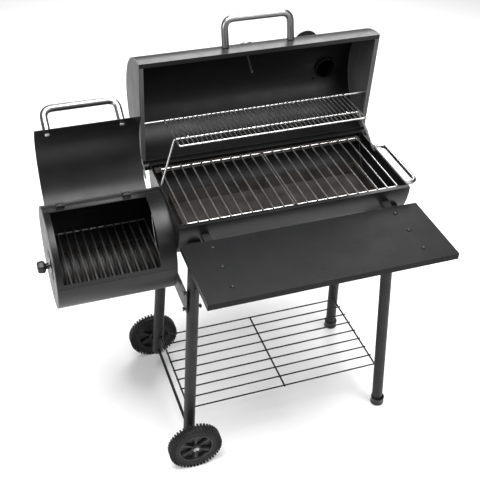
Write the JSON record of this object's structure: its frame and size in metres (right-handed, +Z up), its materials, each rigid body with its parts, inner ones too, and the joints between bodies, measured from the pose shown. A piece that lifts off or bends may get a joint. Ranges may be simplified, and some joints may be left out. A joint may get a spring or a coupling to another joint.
{
  "type": "offset smoker",
  "caption": "Barrel smoker on a wheeled four-leg cart, with a side firebox, two hinged lids, a chimney, wire grates, a folding warming rack, a front table and a bottom rack.",
  "frame": {"origin": "centre of the whole object's box on the floor", "axes": "+X along the barrel from the firebox to the chimney end, +Y to the back, +Z up"},
  "size_m": [1.1908, 1.0364, 1.3508],
  "materials": {
    "black_shell": "satin heat-proof black",
    "grey_plate": "satin dark grey",
    "table_paint": "fine textured dark grey",
    "leg_paint": "textured black powder coat",
    "bright_steel": "bright drawn wire and tube",
    "chrome": "polished",
    "black_wire": "semi-gloss black",
    "fire_steel": "scorched bare steel",
    "black_plastic": "matt",
    "tyre_plastic": "matt moulded tread"
  },
  "bodies": {
    "cart": {"bowl_shell": "black_shell", "bowl_end_left": "black_shell", "bowl_end_right": "black_shell", "bowl_handle": "chrome", "grate_ledge_front": "fire_steel", "grate_ledge_back": "fire_steel", "cooking_grate_left": "bright_steel", "cooking_grate_right": "bright_steel", "charcoal_pan": "fire_steel", "lid_pivot_bolt_left": "black_shell", "lid_pivot_bolt_right": "black_shell", "firebox_lower_shell": "black_shell", "firebox_upper_shell": "black_shell", "firebox_end_left": "grey_plate", "firebox_end_right": "black_shell", "firebox_hinge_fixed_1": "leg_paint", "firebox_hinge_fixed_2": "leg_paint", "firebox_grate": "bright_steel", "firebox_coal_grate": "fire_steel", "leg_front_left": "leg_paint", "leg_back_left": "leg_paint", "leg_brace_left": "leg_paint", "table_arm_left": "leg_paint", "table_strut_left": "leg_paint", "leg_front_right": "leg_paint", "leg_back_right": "leg_paint", "leg_brace_right": "leg_paint", "table_arm_right": "leg_paint", "table_strut_right": "leg_paint", "foot_cap_front": "black_plastic", "foot_cap_back": "black_plastic", "axle": "black_wire", "bottom_rack": "black_wire", "table_top": "table_paint"},
    "lid": {"lid_shell": "black_shell", "lid_end_left": "grey_plate", "lid_end_right": "grey_plate", "lid_handle": "bright_steel", "thermometer": "bright_steel", "chimney_pipe": "black_shell"},
    "chimney_cap": {"chimney_cap": "black_shell"},
    "warming_rack": {"warming_rack": "bright_steel"},
    "warming_bail": {"warming_rack_bail": "bright_steel"},
    "firebox_lid": {"firebox_lid": "black_shell", "firebox_handle": "bright_steel", "firebox_hinge_moving_1": "leg_paint", "firebox_hinge_moving_2": "leg_paint"},
    "air_damper": {"air_damper": "black_shell", "air_knob": "black_plastic"},
    "wheel_front": {"wheel_hub_front": "black_plastic", "tyre_front": "tyre_plastic"},
    "wheel_back": {"wheel_hub_back": "black_plastic", "tyre_back": "tyre_plastic"}
  },
  "joints": [
    {"name": "lid_hinge", "type": "hinge", "parent": "cart", "child": "lid", "pos_m": [0.16355, 0.12876, 0.907], "axis": [1, 0, 0], "range_deg": [0, 86]},
    {"name": "warming_bail_hinge", "type": "hinge", "parent": "cart", "child": "warming_bail", "pos_m": [0.16355, 0.00876, 0.909], "axis": [1, 0, 0], "range_deg": [0, 86]},
    {"name": "warming_rack_hinge", "type": "hinge", "parent": "lid", "child": "warming_rack", "pos_m": [0.16355, 0.16476, 1.04], "axis": [1, 0, 0], "range_deg": [-86, 0]},
    {"name": "chimney_cap_slide", "type": "slide", "parent": "lid", "child": "chimney_cap", "axis": [0, 0.9976, 0.0698], "range_m": [-0.01, 0.013]},
    {"name": "firebox_lid_hinge", "type": "hinge", "parent": "cart", "child": "firebox_lid", "pos_m": [0.16355, -0.02033, 0.91865], "axis": [1, 0, 0], "range_deg": [0, 136]},
    {"name": "air_damper_turn", "type": "hinge", "parent": "cart", "child": "air_damper", "pos_m": [-0.55645, -0.09224, 0.765], "axis": [1, 0, 0], "continuous": true},
    {"name": "wheel_front_spin", "type": "hinge", "parent": "cart", "child": "wheel_front", "pos_m": [-0.18913, -0.32525, 0.09], "axis": [0, 1, 0], "continuous": true},
    {"name": "wheel_back_spin", "type": "hinge", "parent": "cart", "child": "wheel_back", "pos_m": [-0.18913, 0.23075, 0.09], "axis": [0, 1, 0], "continuous": true}
  ],
  "couplings": [
    {"joint": "warming_bail_hinge", "follows": "lid_hinge", "ratio": 1},
    {"joint": "warming_rack_hinge", "follows": "lid_hinge", "ratio": -1}
  ]
}
